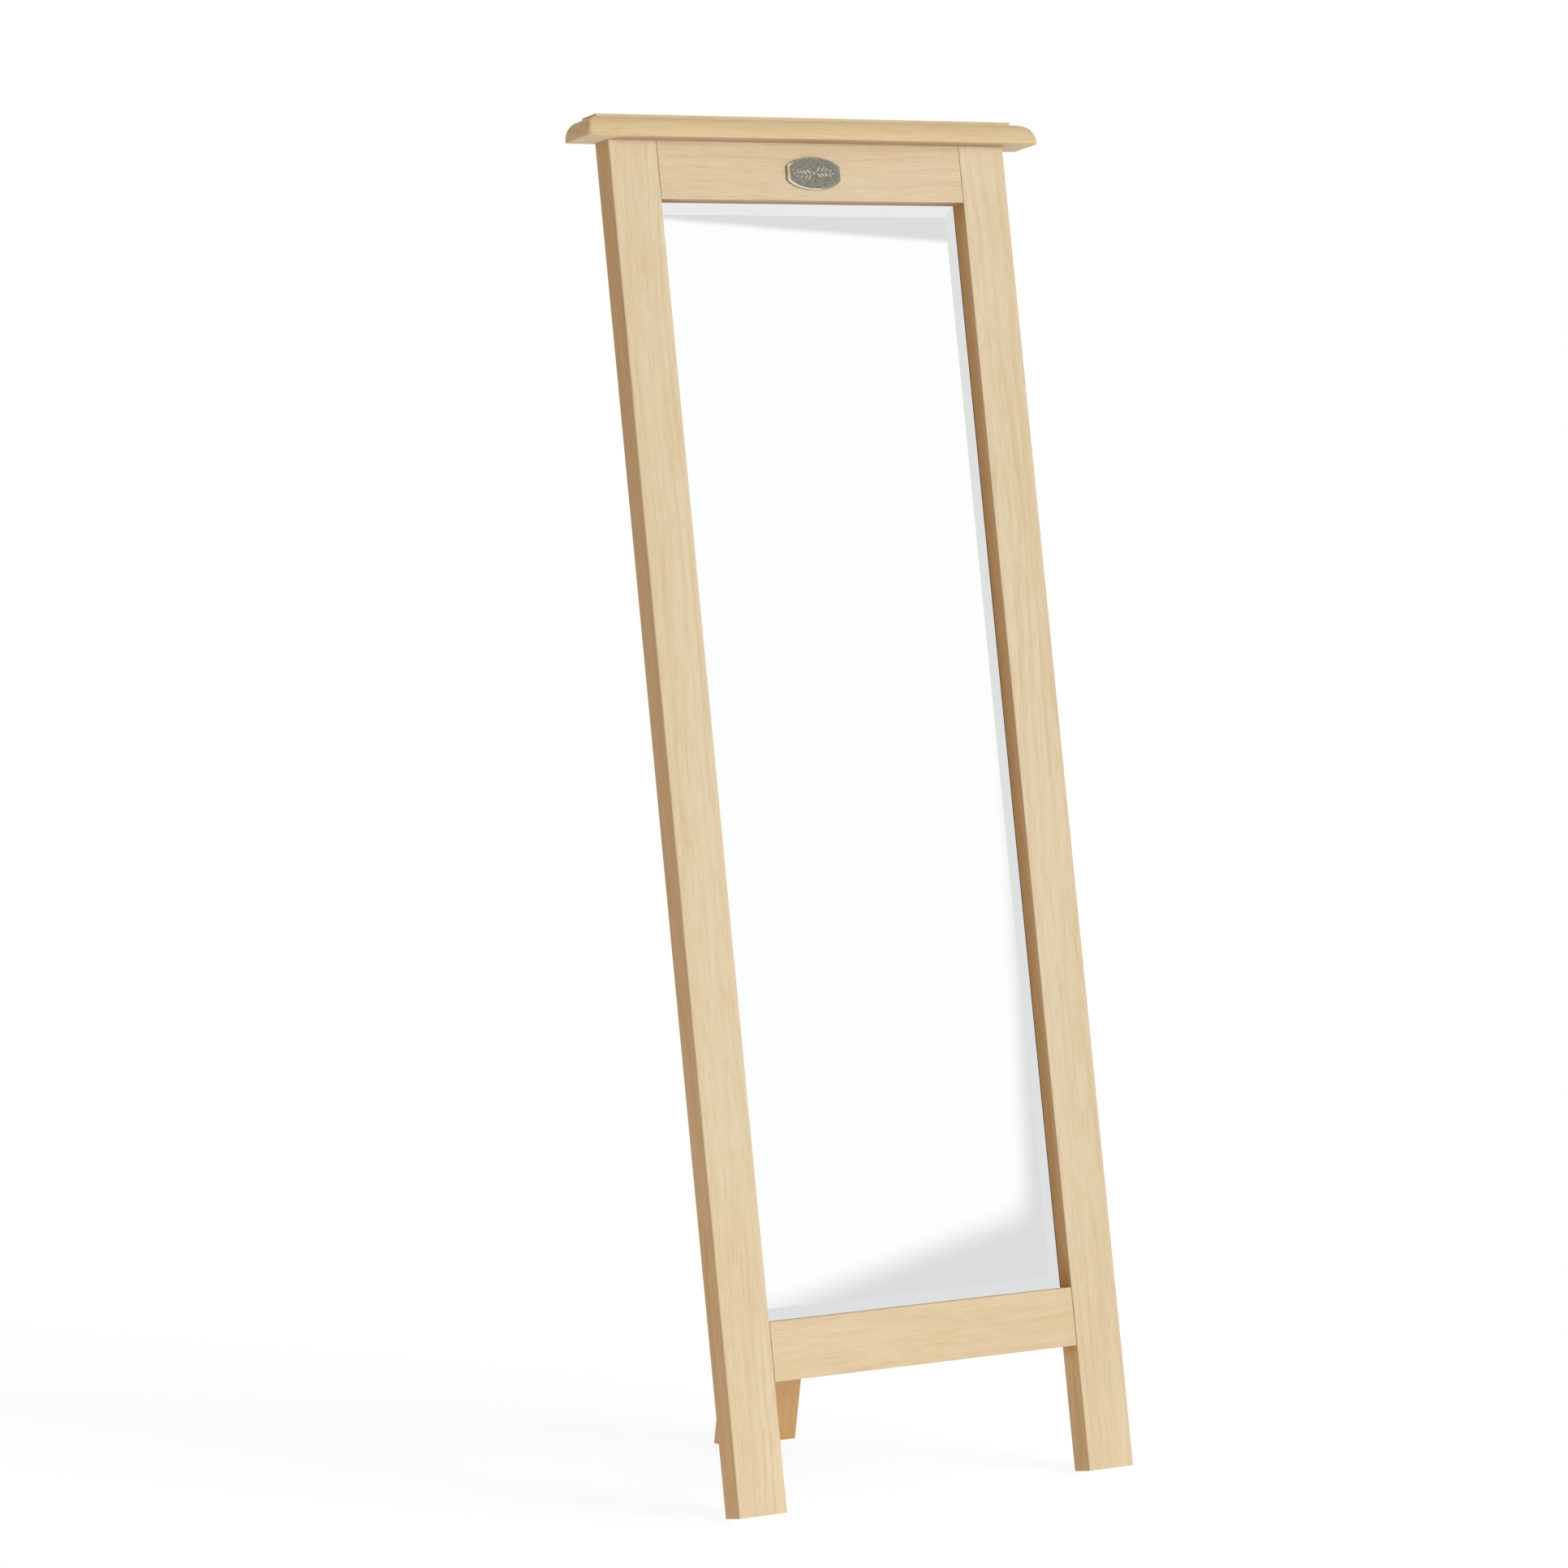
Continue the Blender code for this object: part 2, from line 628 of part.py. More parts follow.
def badge_plate(parent, surface):
    """A cast plate with a raised rim round a sunk plain field, and two spigots cast on its back."""
    back, front = -GAP, -GAP - BADGE_T
    field = front + BADGE_FIELD_DEPTH
    bm = bmesh.new()
    outlines = [
        badge_outline(0, back),
        badge_outline(0, back - BADGE_T / 2),
        badge_outline(0.25 * BADGE_RIM, front + 0.1 * BADGE_T),
        badge_outline(0.5 * BADGE_RIM, front),
        badge_outline(0.75 * BADGE_RIM, front + 0.1 * BADGE_T),
        badge_outline(BADGE_RIM, field),
    ]
    add_loft(bm, outlines)
    obj = piece("badge_plate", mesh_from("badge_plate", bm), parent, surface, smooth=True)
    bores = bmesh.new()
    for number, x in enumerate(BADGE_SPIGOT_X, 1):
        spigots = bmesh.new()
        place = Matrix.Translation((x, -BADGE_T / 2, BADGE_Z)) @ TO_BACK
        length = BADGE_SPIGOT_L + BADGE_T / 2
        add_turned(spigots, spigot_profile(BADGE_SPIGOT_R, length), SCREW_SIDES, place)
        join = obj.modifiers.new("spigot", "BOOLEAN")
        join.operation = "UNION"
        join.object = cutter(f"badge_spigot_{number}", spigots, parent)
        add_turned(bores, spigot_profile(BADGE_SPIGOT_R + GAP, length + BORE_PAST), SCREW_SIDES, place)
    return obj, cutter("badge_bores", bores, parent)


def spigot_profile(radius, length):
    return [(0, 0), (radius, 0), (radius, -length), (0, -length)]


# Assembly ------------------------------------------------------------------------------------------------


def main():
    clear_scene()
    timber = material("timber", (0.73, 0.58, 0.38), 0.45)
    dowel_beech = material("dowel_beech", (0.62, 0.45, 0.28), 0.6)
    felt = material("black_felt", (0.02, 0.018, 0.016), 0.9)
    silvered = material("silvered_glass", (0.92, 0.94, 0.94), 0.03, 1.0)
    hardboard = material("hardboard", (0.19, 0.11, 0.06), 0.7)
    zinc = material("zinc_plate", (0.62, 0.62, 0.60), 0.35, 1.0)
    brass = material("hinge_brass", (0.66, 0.50, 0.24), 0.32, 1.0)
    pewter = material("aged_pewter", (0.27, 0.26, 0.21), 0.45, 1.0)

    frame = axes("frame_axes", (0, FRAME_Y, FRAME_RAISE), -FRAME_LEAN)
    pin_world = (0, FRAME_Y + PIN_BACK, PIN_RAISE)
    leg = axes("leg_axes", pin_world, LEG_LEAN)
    pin_in_frame = Vector((0, PIN_Y, HINGE_UP))
    pin_in_leg = Vector((0, 0, 0))

    stiles = [stile("left_stile", -1, frame, timber), stile("right_stile", 1, frame, timber)]
    bottom = rail("bottom_rail", BOTTOM_RAIL_LOW, OPEN_LOW, (BOTTOM_RAIL_LOW, OPEN_LOW), frame, timber)
    top = rail("top_rail", OPEN_HIGH, STILE_L, (OPEN_HIGH,), frame, timber)
    cap = cap_board(frame, timber)
    glazing_strip(frame, felt)
    mirror_glass(frame, silvered)
    backing = backing_board(frame, hardboard)
    back_rail = hinge_rail(frame, timber)
    leg_board = rear_leg(leg, timber)
    frame_leaf = hinge_leaf("hinge_frame_leaf", -1, 0, pin_in_frame, frame, brass)
    leg_leaf = hinge_leaf("hinge_leg_leaf", 1, 1, pin_in_leg, leg, brass)
    hinge_pin(pin_in_frame, frame, brass)
    badge_bores = badge_plate(frame, pewter)[1]

    glass_rebate = rebate_cutter("glass_rebate", GLASS_REBATE, LIP_T, frame)
    backing_rebate = rebate_cutter("backing_rebate", BACKING_REBATE, BACKING_LIP, frame)
    rail_dowels = place_dowels(
        "rail_dowel", RAIL_DOWEL_R, RAIL_DOWEL_L, rail_dowel_centres(), ALONG_X, frame, dowel_beech
    )
    cap_dowels = place_dowels(
        "cap_dowel", CAP_DOWEL_R, CAP_DOWEL_L, cap_dowel_centres(), Matrix(), frame, dowel_beech
    )
    backing_heads = backing_screw_heads()
    backing_screws = place_screws("backing_screw", BACKING_SCREW, backing_heads, TO_FRONT, frame, zinc)
    rail_screws = place_screws("rail_screw", RAIL_SCREW, rail_screw_heads(), TO_FRONT, frame, zinc)
    frame_heads = leaf_screw_heads(-1, pin_in_frame)
    frame_leaf_screws = place_screws("frame_leaf_screw", HINGE_SCREW, frame_heads, TO_FRONT, frame, brass)
    leg_heads = leaf_screw_heads(1, pin_in_leg)
    leg_leaf_screws = place_screws("leg_leaf_screw", HINGE_SCREW, leg_heads, TO_BACK, leg, brass)

    for board in stiles:
        for tool in (glass_rebate, backing_rebate, rail_dowels, cap_dowels, backing_screws, rail_screws):
            cut(board, tool)
    for tool in (glass_rebate, backing_rebate, rail_dowels, backing_screws):
        cut(bottom, tool)
    for tool in (glass_rebate, backing_rebate, rail_dowels, cap_dowels, backing_screws, badge_bores):
        cut(top, tool)
    cut(cap, cap_dowels)
    cut(backing, backing_screws)
    cut(back_rail, rail_screws)
    cut(back_rail, frame_leaf_screws)
    cut(frame_leaf, frame_leaf_screws)
    cut(leg_leaf, leg_leaf_screws)
    cut(leg_board, leg_leaf_screws)


main()
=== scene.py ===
"""Looks for the cheval floor mirror: its timber, glass and metal, and the plain studio round it.

World axes: metres, +Z up, the floor at Z = 0 and the front towards -Y. The frame leans back by LEAN and the
rear leg leans forward by the same angle, so a board's grain runs along one of the three directions below.
"""

import math

import bmesh
import bpy
from mathutils import Matrix, Vector


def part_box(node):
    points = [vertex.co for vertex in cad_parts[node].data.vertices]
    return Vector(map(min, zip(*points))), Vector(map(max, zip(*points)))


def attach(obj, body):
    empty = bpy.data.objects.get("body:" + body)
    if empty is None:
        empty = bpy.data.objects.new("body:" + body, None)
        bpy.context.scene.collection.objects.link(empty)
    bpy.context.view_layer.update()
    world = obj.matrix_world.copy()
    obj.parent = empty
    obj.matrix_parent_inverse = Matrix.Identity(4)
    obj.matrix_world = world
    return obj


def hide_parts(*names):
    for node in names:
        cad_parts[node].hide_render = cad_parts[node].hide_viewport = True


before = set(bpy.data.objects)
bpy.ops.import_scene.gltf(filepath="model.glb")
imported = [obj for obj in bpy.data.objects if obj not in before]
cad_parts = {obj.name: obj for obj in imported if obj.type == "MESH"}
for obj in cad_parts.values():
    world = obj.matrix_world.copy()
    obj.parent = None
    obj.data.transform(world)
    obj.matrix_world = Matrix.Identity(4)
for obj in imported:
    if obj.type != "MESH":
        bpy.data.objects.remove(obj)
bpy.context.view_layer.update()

MM = 0.001
LEAN = math.radians(10)

# Directions in the world: across, then along the stiles and the rear leg, and out of their front faces
ACROSS = Vector((1, 0, 0))
UP_FRAME = Vector((0, math.sin(LEAN), math.cos(LEAN)))
OUT_FRAME = Vector((0, -math.cos(LEAN), math.sin(LEAN)))
UP_LEG = Vector((0, -math.sin(LEAN), math.cos(LEAN)))
OUT_LEG = Vector((0, -math.cos(LEAN), -math.sin(LEAN)))

# Surfaces
WELD = 0.001 * MM
SHARP_ANGLE = math.radians(40)  # an edge that turns by more than this is an arris
GLASS_SHARP_ANGLE = math.radians(1)  # less, because the glass's bevel is shallow
SOFT_EDGE = 0.25 * MM

# Timber, before each board's own tint
PALE_WOOD = (0.715, 0.615, 0.440)
HONEY_WOOD = (0.670, 0.545, 0.360)
FRAME_HALF_W = -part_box("left_stile")[0][0]
SHADE_REACH = 40 * MM  # how near something has to be to shelter a face
WORN_EDGE = 1.2 * MM

# Badge, in its own plane: across, up, and out from the plate's back
BADGE_T = 3 * MM
BADGE_HALF_H = 19.5 * MM
BADGE_END_HALF_H = 8 * MM
BADGE_LONG_AXIS = 41.1 * MM  # of the ellipse that the straight ends cut short
BADGE_RIM_END = 3.4 * MM  # the chamfered rim's width at the ends, and along the top and the bottom
BADGE_RIM_SIDE = 1.4 * MM
BADGE_FIELD = 2.55 * MM  # the sunk field's height
BADGE_ARC_STEPS = 40
SPRIG_HALF = 27 * MM
SPRIG_RISE = 1.6 * MM
STEM_W = 0.8 * MM
STEM_STEPS = 10
BEAD_R = 1.7 * MM
LEAF_L = 10.5 * MM
LEAF_W = 3.6 * MM
LEAF_STEPS = 8
LEAF_ROOT = 0.15 * MM  # how deep a leaf's edges lie in the field
LEAF_LEAN = 0.75  # radians between a leaf and its stem
LEAF_PAIRS = 4
RELIEF = 0.8 * MM

# Camera
CAMERA_AT = (-3.8024084, -5.6178599, 1.3709978)
CAMERA_TURN = (math.radians(85.327185), 0, math.radians(-33.507007))
CAMERA_LENS = 132.320

# Key light
KEY_STRENGTH = 2.17
KEY_SPREAD = math.radians(30)
KEY_COLOUR = (0.98, 1.0, 0.96)
KEY_TOWARDS = Vector((0.50, -0.85, 0.10))

# Bright panel ahead, in degrees round to the right of straight ahead and in degrees of height. Each edge is
# slanted: how much it rises or shifts per degree, and one point that it passes through.
PANEL_FOOT = (0.165, 33.5, 6.96)
PANEL_SIDE = (0.154, 8.07, 35.90)
PANEL_TOP = (-0.275, 34.2, 17.69)
PANEL_CORNER = 0.45  # how gently the foot runs into the side

# Floor
FLOOR_HALF = 200.0
POOL_AT = (-0.7, 0.2, 0)  # the middle of the warm light that the floor throws up


# Node trees ----------------------------------------------------------------------------------------------


class Nodes:
    """A node tree, with a short call for each kind of node that the materials share."""

    def __init__(self, tree):
        self.tree = tree
        tree.nodes.clear()

    def add(self, kind, inputs=(), **settings):
        node = self.tree.nodes.new(kind)
        for name, value in settings.items():
            setattr(node, name, value)
        for name, value in dict(inputs).items():
            self.plug(node.inputs[name], value)
        return node

    def plug(self, socket, value):
        if isinstance(value, bpy.types.NodeSocket):
            self.tree.links.new(value, socket)
        else:
            socket.default_value = value

    def math(self, operation, *values):
        return self.add("ShaderNodeMath", dict(enumerate(values)), operation=operation).outputs[0]

    def vector(self, operation, *values):
        return self.add("ShaderNodeVectorMath", dict(enumerate(values)), operation=operation).outputs[0]

    def product(self, first, *others):
        for other in others:
            first = self.math("MULTIPLY", first, other)
        return first

    def parts(self, vector):
        return self.add("ShaderNodeSeparateXYZ", {0: vector}).outputs

    def grey(self, value):
        return self.add("ShaderNodeCombineXYZ", {0: value, 1: value, 2: value}).outputs[0]

    def step(self, value, low, high, first=0.0, last=1.0):
        """A smooth step of value, from first at low to last at high."""
        inputs = {"Value": value, "From Min": low, "From Max": high, "To Min": first, "To Max": last}
        return self.add("ShaderNodeMapRange", inputs, interpolation_type="SMOOTHSTEP").outputs[0]

    def noise(self, vector, scale, detail=2.0, roughness=0.5, distortion=0.0):
        inputs = {
            "Vector": vector,
            "Scale": scale,
            "Detail": detail,
            "Roughness": roughness,
            "Distortion": distortion,
        }
        return self.add("ShaderNodeTexNoise", inputs).outputs["Fac"]

    def mapped(self, vector, scale, offset=(0, 0, 0), turn=(0, 0, 0)):
        inputs = {"Vector": vector, "Scale": scale, "Location": offset, "Rotation": turn}
        return self.add("ShaderNodeMapping", inputs).outputs[0]

    def mix(self, factor, a, b, blend="MIX"):
        node = self.add("ShaderNodeMix", data_type="RGBA", blend_type=blend)
        for index, value in ((0, factor), (6, a), (7, b)):
            self.plug(node.inputs[index], value)
        return node.outputs[2]

    def bump(self, height, distance, strength=1.0):
        inputs = {"Height": height, "Distance": distance, "Strength": strength}
        return self.add("ShaderNodeBump", inputs).outputs[0]

    def worn_edge(self, radius):
        """1 on an arris and 0 on a flat face, from how far a rounded normal turns from the true one."""
        rounded = self.add("ShaderNodeBevel", {"Radius": radius}, samples=4).outputs[0]
        true = self.add("ShaderNodeNewGeometry").outputs["Normal"]
        inputs = {0: rounded, 1: true}
        along = self.add("ShaderNodeVectorMath", inputs, operation="DOT_PRODUCT").outputs["Value"]
        return self.step(self.math("SUBTRACT", 1.0, along), 0.02, 0.35)


def colour(red, green, blue):
    return (red, green, blue, 1.0)


def new_material(name):
    surface = bpy.data.materials.new(name)
    surface.use_nodes = True
    nodes = Nodes(surface.node_tree)
    shader = nodes.add("ShaderNodeBsdfPrincipled")
    output = nodes.add("ShaderNodeOutputMaterial")
    nodes.tree.links.new(shader.outputs[0], output.inputs["Surface"])
    return surface, nodes, shader


# Materials -----------------------------------------------------------------------------------------------


def board_turn(grain, out):
    """The turn that takes a world direction into a board's own: z along the grain, y out of its face."""
    across = out.cross(grain)
    return Matrix((across, out, grain)).to_euler()


def wood_figure(nodes, board):
    """The masks that the wood's tone and surface are made from, over a board's own coordinates.

    The figure drifts sideways along the board, so that its streaks and rings bend and run out.
    """
    drift = nodes.add("ShaderNodeTexNoise", {"Vector": nodes.mapped(board, (6, 6, 1.6)), "Scale": 1.0})
    drift = nodes.vector("SUBTRACT", drift.outputs["Color"], (0.5, 0.5, 0.5))
    drift = nodes.add("ShaderNodeVectorMath", {0: drift, "Scale": 0.05}, operation="SCALE").outputs[0]
    bent = nodes.vector("ADD", board, drift)
    rings = nodes.add(
        "ShaderNodeTexWave",
        {
            "Vector": nodes.mapped(bent, (1, 1, 0.10), offset=(0.11, 0.07, 0)),
            "Scale": 24.0,
            "Distortion": 5.0,
            "Detail": 3.0,
            "Detail Scale": 2.2,
        },
        wave_type="RINGS",
        rings_direction="Z",
        wave_profile="SAW",
    )
    pores = nodes.mapped(bent, (1500, 1500, 110))
    pores = nodes.add("ShaderNodeTexVoronoi", {"Vector": pores, "Scale": 1.0})

    def drawn_out(across, along, detail, roughness=0.5):
        return nodes.noise(nodes.mapped(bent, (across, across, along)), 1.0, detail, roughness)

    return {
        "broad": drawn_out(16, 2, 2.0),
        "streak": drawn_out(150, 9, 3.0, 0.6),
        "dash": drawn_out(330, 22, 3.0, 0.65),
        "fibre": drawn_out(1100, 40, 2.0, 0.6),
        "mottle": nodes.noise(nodes.mapped(board, (70, 70, 34)), 1.0, 3.0, 0.55),
        "ring_line": nodes.step(rings.outputs["Fac"], 0.45, 1.0),
        "ring_place": nodes.step(nodes.noise(nodes.mapped(board, (22, 22, 3)), 1.0, 2.0), 0.40, 0.65),
        "pore": nodes.step(pores.outputs["Distance"], 0.16, 0.05),
    }


def face_grain_tone(nodes, figure, tint):
    """The tone of a face along the grain: pale wood and honey wood, and over them all that darkens them."""
    pale, honey = (colour(*(a * b for a, b in zip(tint, wood))) for wood in (PALE_WOOD, HONEY_WOOD))
    tone = nodes.mix(nodes.step(figure["broad"], 0.3, 0.7, 0.0, 0.5), pale, honey)
    ring_depth = nodes.math("MULTIPLY_ADD", figure["ring_place"], 0.34, 0.06)
    layers = [
        (nodes.step(figure["streak"], 0.38, 0.72, 0.0, 0.50), (0.92, 0.87, 0.78)),
        (nodes.step(figure["dash"], 0.50, 0.75, 0.0, 0.80), (0.91, 0.85, 0.75)),
        (nodes.step(figure["mottle"], 0.4, 0.7, 0.0, 0.35), (0.95, 0.92, 0.87)),
        (nodes.step(figure["fibre"], 0.4, 0.8, 0.0, 0.65), (0.91, 0.86, 0.78)),
        (nodes.product(figure["ring_line"], ring_depth), (0.86, 0.77, 0.62)),
        (nodes.product(figure["pore"], 0.30), (0.82, 0.73, 0.60)),
    ]
    for share, darker in layers:
        tone = nodes.mix(share, tone, colour(*darker), "MULTIPLY")
    return tone


def end_grain_tone(nodes, figure, board, tone):
    """The same tone on a board's end: greyer, with the rings across it and open pores."""
    pores = nodes.add("ShaderNodeTexVoronoi", {"Vector": board, "Scale": 1600.0}).outputs["Distance"]
    rings = nodes.product(figure["ring_line"], 0.8)
    end_tone = nodes.mix(rings, colour(1.10, 1.22, 1.42), colour(1.00, 1.05, 1.12))
    end_tone = nodes.mix(nodes.step(pores, 0.30, 0.12, 0.0, 0.6), end_tone, colour(0.78, 0.70, 0.58))
    return nodes.mix(1.0, tone, end_tone, "MULTIPLY")


def painted_corner_shade(nodes, tone, front):
    """The tone with painted shade: a warm brown in sheltered corners on the frame, deeper on faces turned
    down, and on a shaded front face.
    """
    open_sky = nodes.add("ShaderNodeAmbientOcclusion", {"Distance": SHADE_REACH}, samples=8).outputs["AO"]
    here = nodes.add("ShaderNodeNewGeometry")
    _, facing_back, facing_up = nodes.parts(here.outputs["Normal"])
    sideways, _, over_floor = nodes.parts(here.outputs["Position"])
    sideways = nodes.math("ABSOLUTE", sideways)
    # Painted shade: faces in sheltered corners on the frame are multiplied by a warm brown, and faces turned
    # down by a further brown.
    corner_shade_mask = nodes.product(
        nodes.step(open_sky, 0.92, 0.55),
        nodes.step(facing_up, 0.15, -0.05),
        nodes.step(over_floor, 20 * MM, 60 * MM),
        nodes.step(facing_back, 0.5, 0.2),
        nodes.step(sideways, FRAME_HALF_W + 10 * MM, FRAME_HALF_W - 8 * MM),
    )
    under = nodes.product(corner_shade_mask, nodes.step(facing_up, -0.3, -0.8))
    tone = nodes.mix(corner_shade_mask, tone, colour(0.84, 0.60, 0.32), "MULTIPLY")
    tone = nodes.mix(under, tone, colour(0.74, 0.62, 0.44), "MULTIPLY")
    # Painted shade: the front face is deepened, as where the frame shades it.
    if front:
        tone = nodes.mix(nodes.step(facing_back, -0.3, -0.7), tone, colour(*front), "MULTIPLY")
    return tone


def timber(name, grain, out, offset, tint, front=None, shaded_sides=True):
    """Pale satin-lacquered hardwood, with its grain along one direction and its face turned to another.

    offset is where in the figure the board is sawn from, tint multiplies its tone, and front is painted
    shade that multiplies the tone of its front face. A board with shaded sides gets painted shade, a warm
    brown, on its narrow faces.
    """
    surface, nodes, shader = new_material(name)
    place = nodes.add("ShaderNodeTexCoord")
    turn = board_turn(grain, out)
    board = nodes.mapped(place.outputs["Object"], (1, 1, 1), turn=turn, offset=offset)
    facing_edge, _, facing_end = nodes.parts(nodes.mapped(place.outputs["Normal"], (1, 1, 1), turn=turn))
    end = nodes.step(nodes.math("ABSOLUTE", facing_end), 0.75, 0.95)
    figure = wood_figure(nodes, board)

    tone = face_grain_tone(nodes, figure, tint)
    tone = nodes.mix(end, tone, end_grain_tone(nodes, figure, board, tone))
    if shaded_sides:
        # Painted shade: the narrow faces across the board's width are multiplied by a warm brown.
        edge = nodes.step(nodes.math("ABSOLUTE", facing_edge), 0.7, 0.95)
        tone = nodes.mix(edge, tone, colour(0.96, 0.855, 0.71), "MULTIPLY")
    tone = painted_corner_shade(nodes, tone, front)

    # A handled arris has lost a little of its lacquer and colour.
    patchy = nodes.step(nodes.noise(board, 60.0, 3.0), 0.4, 0.65)
    worn = nodes.product(nodes.worn_edge(WORN_EDGE), patchy)
    tone = nodes.mix(nodes.product(worn, 0.25), tone, colour(0.77, 0.66, 0.47))
    nodes.plug(shader.inputs["Base Color"], tone)

    rough = nodes.step(figure["streak"], 0.3, 0.8, 0.42, 0.52)
    rough = nodes.math("ADD", rough, nodes.product(worn, 0.12))
    rough = nodes.math("ADD", rough, nodes.product(end, 0.10))
    nodes.plug(shader.inputs["Roughness"], rough)
    shader.inputs["Specular IOR Level"].default_value = 0.4
    height = nodes.math("ADD", figure["fibre"], nodes.product(figure["streak"], 1.5))
    height = nodes.math("SUBTRACT", height, nodes.product(figure["pore"], 1.2))
    nodes.plug(shader.inputs["Normal"], nodes.bump(height, 0.04 * MM, 0.6))
    return surface


def dowel_beech():
    """Bare beech with fine flecks along the dowel."""
    surface, nodes, shader = new_material("dowel_beech_turned")
    place = nodes.add("ShaderNodeTexCoord").outputs["Object"]
    fleck = nodes.noise(nodes.mapped(place, (500, 900, 900)), 1.0, 3.0)
    tone = nodes.mix(nodes.step(fleck, 0.35, 0.7), colour(0.66, 0.49, 0.30), colour(0.50, 0.34, 0.19))
    nodes.plug(shader.inputs["Base Color"], tone)
    nodes.plug(shader.inputs["Roughness"], nodes.step(fleck, 0.3, 0.7, 0.55, 0.7))
    nodes.plug(shader.inputs["Normal"], nodes.bump(fleck, 0.05 * MM))
    return surface


def silvered_glass():
    """Silvered glass: a near-perfect reflection, with a trace of polish marks."""
    surface, nodes, shader = new_material("silvered_glass_polished")
    place = nodes.add("ShaderNodeTexCoord").outputs["Object"]
    haze = nodes.noise(nodes.mapped(place, (9, 9, 3)), 1.0, 3.0)
    tone = nodes.mix(nodes.step(haze, 0.3, 0.7), colour(0.945, 0.950, 0.955), colour(0.935, 0.942, 0.947))
    nodes.plug(shader.inputs["Base Color"], tone)
    shader.inputs["Metallic"].default_value = 1.0
    nodes.plug(shader.inputs["Roughness"], nodes.step(haze, 0.35, 0.7, 0.0, 0.006))
    return surface


def hardboard():
    """Pressed brown fibreboard: matted fibres, and a faint weave from the press screen."""
    surface, nodes, shader = new_material("hardboard_pressed")
    place = nodes.add("ShaderNodeTexCoord").outputs["Object"]
    fibres = nodes.noise(nodes.mapped(place, (260, 260, 420)), 1.0, 5.0, 0.7, 1.5)
    clouds = nodes.noise(place, 14.0, 3.0)
    tone = nodes.mix(nodes.step(fibres, 0.3, 0.7), colour(0.155, 0.085, 0.043), colour(0.290, 0.175, 0.095))
    tone = nodes.mix(nodes.step(clouds, 0.35, 0.7, 0.0, 0.5), tone, colour(0.80, 0.76, 0.72), "MULTIPLY")
    nodes.plug(shader.inputs["Base Color"], tone)
    nodes.plug(shader.inputs["Roughness"], nodes.step(fibres, 0.3, 0.7, 0.55, 0.75))
    weave = []
    for axis in ("X", "Z"):
        inputs = {"Vector": place, "Scale": 420.0, "Distortion": 0.6, "Detail": 1.0}
        wave = nodes.add("ShaderNodeTexWave", inputs, wave_type="BANDS", bands_direction=axis)
        weave.append(wave.outputs["Fac"])
    press = nodes.product(nodes.math("MAXIMUM", *weave), 0.5)
    height = nodes.math("ADD", press, fibres)
    nodes.plug(shader.inputs["Normal"], nodes.bump(height, 0.12 * MM, 0.7))
    return surface


def black_felt():
    """Black felt: short matted hairs that catch a little light."""
    surface, nodes, shader = new_material("black_felt_strip")
    place = nodes.add("ShaderNodeTexCoord").outputs["Object"]
    hairs = nodes.noise(place, 1800.0, 4.0, 0.7, 1.0)
    tone = nodes.mix(nodes.step(hairs, 0.3, 0.7), colour(0.010, 0.009, 0.008), colour(0.035, 0.030, 0.026))
    nodes.plug(shader.inputs["Base Color"], tone)
    nodes.plug(shader.inputs["Roughness"], nodes.step(hairs, 0.3, 0.7, 0.85, 0.98))
    nodes.plug(shader.inputs["Normal"], nodes.bump(hairs, 0.15 * MM, 0.8))
    return surface


def worn_metal(name, base, dark, bright, rough, bump_size, brushed=(1, 1, 1)):
    """Metal with a tarnish in its hollows, brush marks, and arrises rubbed bright."""
    surface, nodes, shader = new_material(name)
    place = nodes.add("ShaderNodeTexCoord").outputs["Object"]
    tarnish = nodes.noise(place, 130.0, 4.0, 0.65)
    grit = nodes.noise(nodes.mapped(place, brushed), bump_size, 3.0, 0.6)
    tone = nodes.mix(nodes.step(tarnish, 0.35, 0.65), colour(*base), colour(*dark))
    tone = nodes.mix(nodes.step(grit, 0.4, 0.7, 0.0, 0.3), tone, colour(*dark))
    worn = nodes.product(nodes.worn_edge(0.5 * MM), nodes.step(grit, 0.3, 0.6, 0.4, 1.0))
    tone = nodes.mix(worn, tone, colour(*bright))
    nodes.plug(shader.inputs["Base Color"], tone)
    shader.inputs["Metallic"].default_value = 1.0
    roughness = nodes.step(tarnish, 0.3, 0.7, rough, rough + 0.15)
    roughness = nodes.math("SUBTRACT", roughness, nodes.product(worn, 0.12))
    nodes.plug(shader.inputs["Roughness"], roughness)
    nodes.plug(shader.inputs["Normal"], nodes.bump(grit, 0.05 * MM, 0.5))
    return surface


